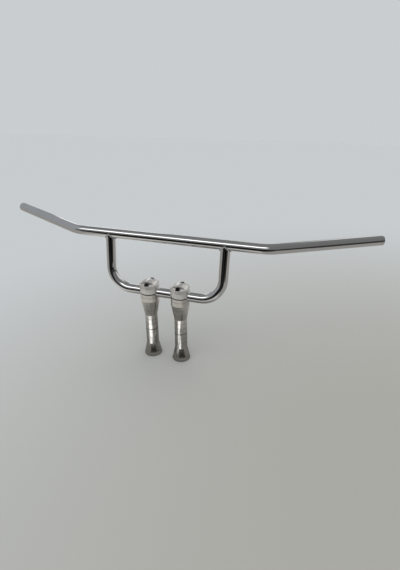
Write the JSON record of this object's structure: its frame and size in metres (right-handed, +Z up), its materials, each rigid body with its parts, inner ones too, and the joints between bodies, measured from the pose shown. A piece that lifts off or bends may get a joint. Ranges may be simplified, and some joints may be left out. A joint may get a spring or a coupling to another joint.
{
  "type": "t-bar handlebar",
  "caption": "Chromed T-bar handlebar: swept-back crossbar welded on a U-shaped tube, clamped in turned risers with bolted caps.",
  "frame": {"origin": "midway between the two riser feet, on the plane that they stand on", "axes": "+X along the bar to the right grip as seen from the front, +Y back to the rider, +Z up"},
  "size_m": [0.915, 0.1348, 0.3358],
  "materials": {
    "bar_chrome": "mirror chrome plate",
    "riser_steel": "turned and polished stainless steel",
    "bolt_steel": "black oxide"
  },
  "bodies": {
    "root": {"crossbar": "bar_chrome", "lower_tube": "bar_chrome", "left_weld": "bar_chrome", "right_weld": "bar_chrome", "left_clamp_cap": "riser_steel", "left_upper_riser": "riser_steel", "left_lower_riser": "riser_steel", "right_clamp_cap": "riser_steel", "right_upper_riser": "riser_steel", "right_lower_riser": "riser_steel", "left_front_bolt": "bolt_steel", "left_rear_bolt": "bolt_steel", "left_riser_stud": "bolt_steel", "right_front_bolt": "bolt_steel", "right_rear_bolt": "bolt_steel", "right_riser_stud": "bolt_steel"}
  },
  "joints": []
}
